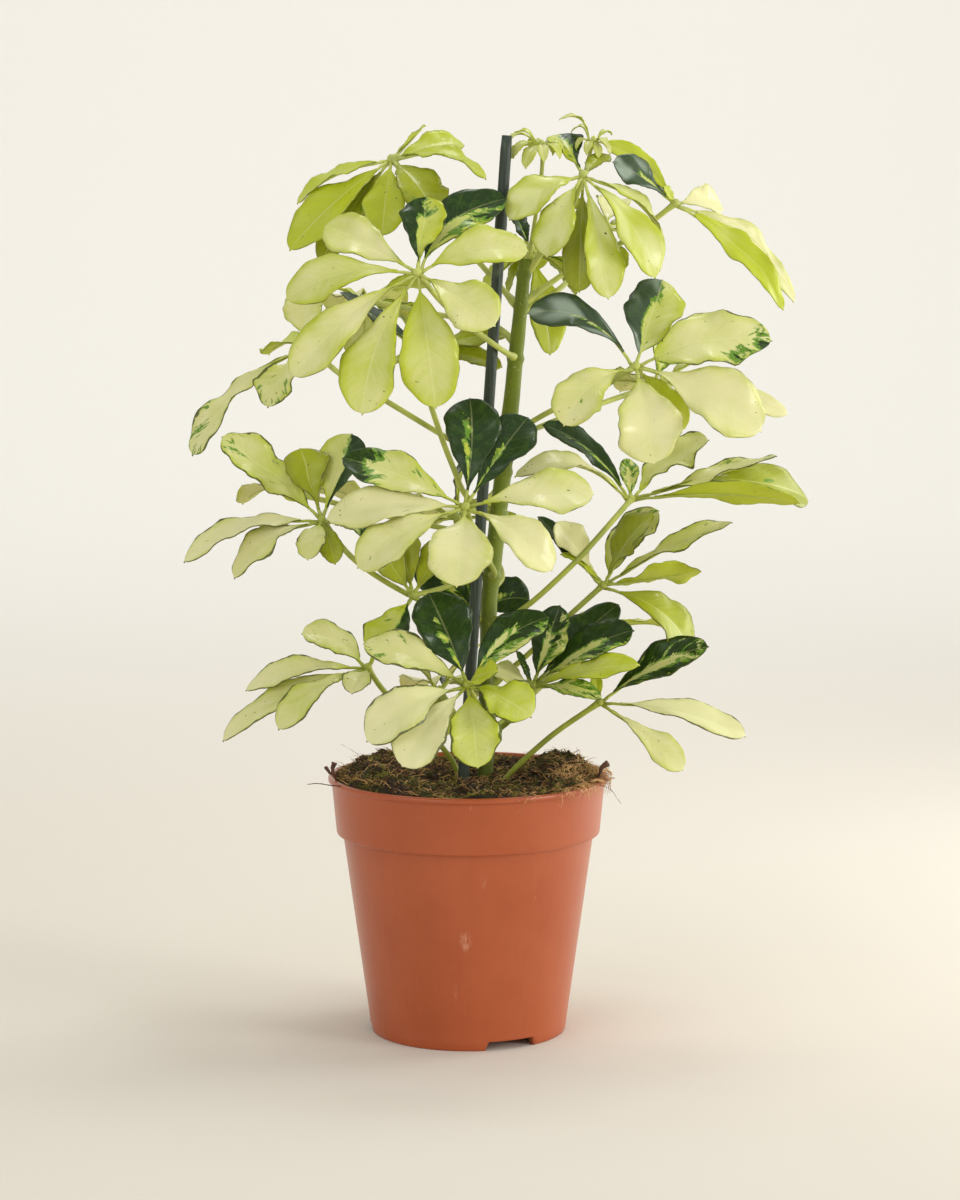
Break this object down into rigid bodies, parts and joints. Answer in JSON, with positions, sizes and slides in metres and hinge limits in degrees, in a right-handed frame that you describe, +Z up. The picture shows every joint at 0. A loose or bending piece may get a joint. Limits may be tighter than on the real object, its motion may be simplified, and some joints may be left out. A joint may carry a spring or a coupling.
{
  "type": "potted umbrella plant",
  "caption": "Free-standing potted umbrella plant with variegated leaves, one green stem and a support stake in a terracotta-coloured plastic nursery pot of soil.",
  "frame": {"origin": "the middle of the pot's flat base, on the surface that it stands on", "axes": "+Z up, -Y the front, +X the viewer's right"},
  "size_m": [0.311, 0.2214, 0.4556],
  "materials": {
    "back_leaf_low": "living leaf, waxy, cream and lime with dark green patches",
    "back_leaf_low_right": "living leaf, waxy, cream and lime with dark green patches",
    "back_leaf_middle": "living leaf, waxy, cream and lime with dark green patches",
    "back_leaf_middle_left": "living leaf, waxy, cream and lime with dark green patches",
    "back_leaf_top": "living leaf, waxy, cream and lime with dark green patches",
    "back_leaf_upper_left": "living leaf, waxy, cream and lime with dark green patches",
    "back_leaf_upper_right": "living leaf, waxy, cream and lime with dark green patches",
    "leaf_behind_stake": "living leaf, waxy, cream and lime with dark green patches",
    "leaf_far_right": "living leaf, waxy, cream and lime with dark green patches",
    "leaf_inner_back": "living leaf, waxy, cream and lime with dark green patches",
    "leaf_inner_left": "living leaf, waxy, cream and lime with dark green patches",
    "leaf_low_front": "living leaf, waxy, cream and lime with dark green patches",
    "leaf_low_inner_right": "living leaf, waxy, cream and lime with dark green patches",
    "leaf_low_left": "living leaf, waxy, cream and lime with dark green patches",
    "leaf_low_right": "living leaf, waxy, cream and lime with dark green patches",
    "leaf_lower_right": "living leaf, waxy, cream and lime with dark green patches",
    "leaf_middle_front": "living leaf, waxy, cream and lime with dark green patches",
    "leaf_middle_left": "living leaf, waxy, cream and lime with dark green patches",
    "leaf_middle_right": "living leaf, waxy, cream and lime with dark green patches",
    "leaf_outer_left": "living leaf, waxy, cream and lime with dark green patches",
    "leaf_right_front": "living leaf, waxy, cream and lime with dark green patches",
    "leaf_top_back": "living leaf, waxy, cream and lime with dark green patches",
    "leaf_top_left": "living leaf, waxy, cream and lime with dark green patches",
    "leaf_top_right": "living leaf, waxy, cream and lime with dark green patches",
    "leaf_upper_front": "living leaf, waxy, cream and lime with dark green patches",
    "pot": "satin moulded terracotta-coloured polypropylene",
    "soil": "damp potting soil with moss and root fibres",
    "stake": "dark green stained cane, satin",
    "stem": "green living stem, satin",
    "young_leaf_back": "living leaf, waxy, cream and lime with dark green patches",
    "young_leaf_tip": "living leaf, waxy, cream and lime with dark green patches"
  },
  "bodies": {
    "root": {"back_leaf_low": "back_leaf_low", "back_leaf_low_right": "back_leaf_low_right", "back_leaf_middle": "back_leaf_middle", "back_leaf_middle_left": "back_leaf_middle_left", "back_leaf_top": "back_leaf_top", "back_leaf_upper_left": "back_leaf_upper_left", "back_leaf_upper_right": "back_leaf_upper_right", "leaf_behind_stake": "leaf_behind_stake", "leaf_far_right": "leaf_far_right", "leaf_inner_back": "leaf_inner_back", "leaf_inner_left": "leaf_inner_left", "leaf_low_front": "leaf_low_front", "leaf_low_inner_right": "leaf_low_inner_right", "leaf_low_left": "leaf_low_left", "leaf_low_right": "leaf_low_right", "leaf_lower_right": "leaf_lower_right", "leaf_middle_front": "leaf_middle_front", "leaf_middle_left": "leaf_middle_left", "leaf_middle_right": "leaf_middle_right", "leaf_outer_left": "leaf_outer_left", "leaf_right_front": "leaf_right_front", "leaf_top_back": "leaf_top_back", "leaf_top_left": "leaf_top_left", "leaf_top_right": "leaf_top_right", "leaf_upper_front": "leaf_upper_front", "pot": "pot", "soil": "soil", "stake": "stake", "stem": "stem", "young_leaf_back": "young_leaf_back", "young_leaf_tip": "young_leaf_tip"}
  },
  "joints": []
}
